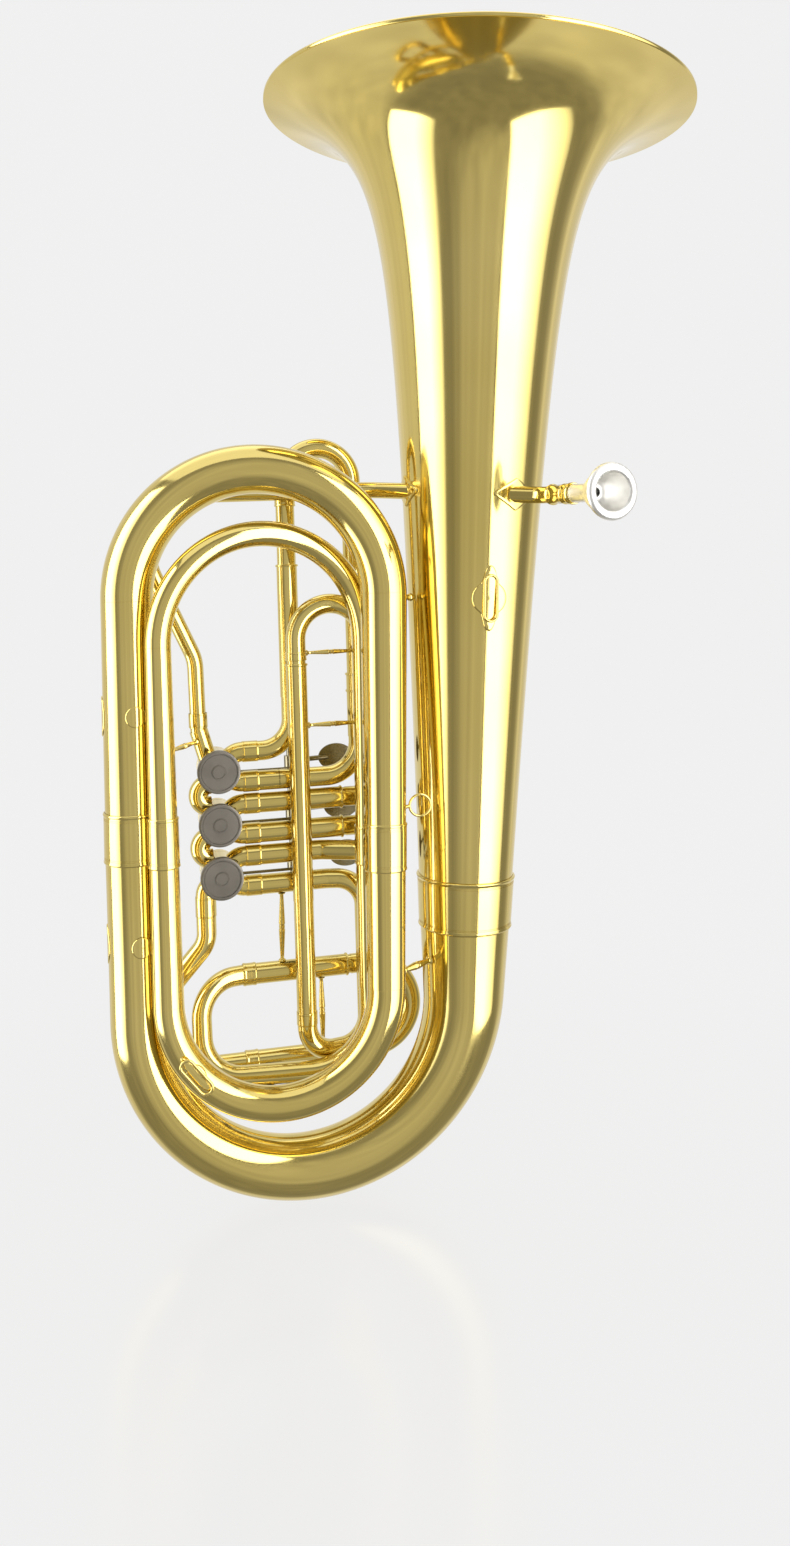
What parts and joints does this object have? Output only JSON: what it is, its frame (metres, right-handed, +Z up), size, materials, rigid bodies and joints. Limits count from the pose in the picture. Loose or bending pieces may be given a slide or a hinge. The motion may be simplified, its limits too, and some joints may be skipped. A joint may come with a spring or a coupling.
{
  "type": "euphonium",
  "caption": "Upright oval euphonium with a tall flared bell, nested tube loops, rotary valves worked by levers, pull-out tuning slides and a removable mouthpiece.",
  "frame": {"origin": "lowest point of the bottom bow", "axes": "+X to the player's right, +Y away from the player, +Z up towards the bell's mouth"},
  "size_m": [0.4159, 0.305, 0.7658],
  "materials": {
    "lacquered_brass": "clear lacquered, mirror polished",
    "nickel": "satin nickel silver",
    "rotor_brass": "ground bare brass",
    "silver": "polished silver plate"
  },
  "bodies": {
    "root": {"bell": "lacquered_brass", "bell_rim_wire": "lacquered_brass", "bell_ferrule": "lacquered_brass", "bottom_bow": "lacquered_brass", "left_ferrule": "lacquered_brass", "left_branch": "lacquered_brass", "top_bow": "lacquered_brass", "right_branch": "lacquered_brass", "right_ferrule": "lacquered_brass", "inner_bottom_bow": "lacquered_brass", "inner_left_ferrule": "lacquered_brass", "inner_left_branch": "lacquered_brass", "inner_top_bow": "lacquered_brass", "third_branch": "lacquered_brass", "third_ferrule": "lacquered_brass", "third_bow": "lacquered_brass", "main_slide_sleeves": "lacquered_brass", "valve_outlet_pipe": "lacquered_brass", "valve_casings": "lacquered_brass", "valve_caps": "nickel", "bearing_plates": "nickel", "valve_knuckles": "lacquered_brass", "slide_1_tubes": "lacquered_brass", "slide_2_tubes": "lacquered_brass", "slide_3_tubes": "lacquered_brass", "leadpipe": "lacquered_brass", "receiver": "lacquered_brass", "bell_flanges": "lacquered_brass", "lever_axle": "nickel", "axle_posts": "nickel", "branch_plates": "lacquered_brass", "body_braces": "lacquered_brass", "slide_braces": "lacquered_brass", "strap_rings": "lacquered_brass", "strap_plates": "lacquered_brass", "thumb_ring": "lacquered_brass", "water_key_saddle": "lacquered_brass"},
    "mouthpiece": {"mouthpiece": "silver"},
    "main_slide": {"main_slide_crook": "lacquered_brass"},
    "slide_1": {"slide_1_crook": "lacquered_brass"},
    "slide_2": {"slide_2_crook": "lacquered_brass"},
    "slide_3": {"slide_3_crook": "lacquered_brass"},
    "water_key": {"water_key": "nickel"},
    "rotor_1": {"rotor_1": "rotor_brass", "stop_arm_1": "nickel"},
    "lever_1": {"lever_1": "nickel"},
    "link_rod_1": {"link_rod_1": "nickel"},
    "rotor_2": {"rotor_2": "rotor_brass", "stop_arm_2": "nickel"},
    "lever_2": {"lever_2": "nickel"},
    "link_rod_2": {"link_rod_2": "nickel"},
    "rotor_3": {"rotor_3": "rotor_brass", "stop_arm_3": "nickel"},
    "lever_3": {"lever_3": "nickel"},
    "link_rod_3": {"link_rod_3": "nickel"}
  },
  "joints": [
    {"name": "mouthpiece_pull", "type": "slide", "parent": "root", "child": "mouthpiece", "axis": [0.174, -0.9845, -0.023], "range_m": [0, 0.016]},
    {"name": "main_slide_pull", "type": "slide", "parent": "root", "child": "main_slide", "axis": [0.9995, 0, 0.0314], "range_m": [0, 0.045]},
    {"name": "slide_1_pull", "type": "slide", "parent": "root", "child": "slide_1", "axis": [-0.0314, 0, 0.9995], "range_m": [0, 0.035]},
    {"name": "slide_2_pull", "type": "slide", "parent": "root", "child": "slide_2", "axis": [0.9995, 0, 0.0314], "range_m": [0, 0.015]},
    {"name": "slide_3_pull", "type": "slide", "parent": "root", "child": "slide_3", "axis": [-0.0314, 0, 0.9995], "range_m": [0, 0.03]},
    {"name": "lever_1_press", "type": "hinge", "parent": "root", "child": "lever_1", "pos_m": [0.00044, 0.07566, 0.28709], "axis": [0.0314, 0, -0.9995], "range_deg": [0, 29.8], "stiffness_Nm_per_rad": 0.05, "springref_deg": -20.05},
    {"name": "rotor_1_turn", "type": "hinge", "parent": "root", "child": "rotor_1", "pos_m": [-0.05776, 0.032, 0.29246], "axis": [0, 1, 0], "range_deg": [0, 90.5]},
    {"name": "link_rod_1_hinge", "type": "hinge", "parent": "lever_1", "child": "link_rod_1", "pos_m": [0.0061, 0.0544, 0.28726], "axis": [-0.0314, 0, 0.9995], "range_deg": [0, 30.1]},
    {"name": "lever_2_press", "type": "hinge", "parent": "root", "child": "lever_2", "pos_m": [0.00161, 0.07566, 0.2501], "axis": [0.0314, 0, -0.9995], "range_deg": [0, 29.8], "stiffness_Nm_per_rad": 0.05, "springref_deg": -20.05},
    {"name": "rotor_2_turn", "type": "hinge", "parent": "root", "child": "rotor_2", "pos_m": [-0.05659, 0.032, 0.25548], "axis": [0, 1, 0], "range_deg": [0, 90.5]},
    {"name": "link_rod_2_hinge", "type": "hinge", "parent": "lever_2", "child": "link_rod_2", "pos_m": [0.00726, 0.0544, 0.25028], "axis": [-0.0314, 0, 0.9995], "range_deg": [0, 30.1]},
    {"name": "lever_3_press", "type": "hinge", "parent": "root", "child": "lever_3", "pos_m": [0.00277, 0.07566, 0.21312], "axis": [0.0314, 0, -0.9995], "range_deg": [0, 29.8], "stiffness_Nm_per_rad": 0.05, "springref_deg": -20.05},
    {"name": "rotor_3_turn", "type": "hinge", "parent": "root", "child": "rotor_3", "pos_m": [-0.05543, 0.032, 0.2185], "axis": [0, 1, 0], "range_deg": [0, 90.5]},
    {"name": "link_rod_3_hinge", "type": "hinge", "parent": "lever_3", "child": "link_rod_3", "pos_m": [0.00842, 0.0544, 0.2133], "axis": [-0.0314, 0, 0.9995], "range_deg": [0, 30.1]},
    {"name": "water_key_lift", "type": "hinge", "parent": "root", "child": "water_key", "pos_m": [-0.02286, 0.0067, 0.07335], "axis": [0, 1, 0], "range_deg": [-11, 0], "stiffness_Nm_per_rad": 0.05, "springref_deg": 17.19}
  ],
  "couplings": [
    {"joint": "rotor_1_turn", "follows": "lever_1_press", "ratio": 3.0202},
    {"joint": "link_rod_1_hinge", "follows": "lever_1_press", "ratio": 1},
    {"joint": "rotor_2_turn", "follows": "lever_2_press", "ratio": 3.0202},
    {"joint": "link_rod_2_hinge", "follows": "lever_2_press", "ratio": 1},
    {"joint": "rotor_3_turn", "follows": "lever_3_press", "ratio": 3.0202},
    {"joint": "link_rod_3_hinge", "follows": "lever_3_press", "ratio": 1}
  ]
}
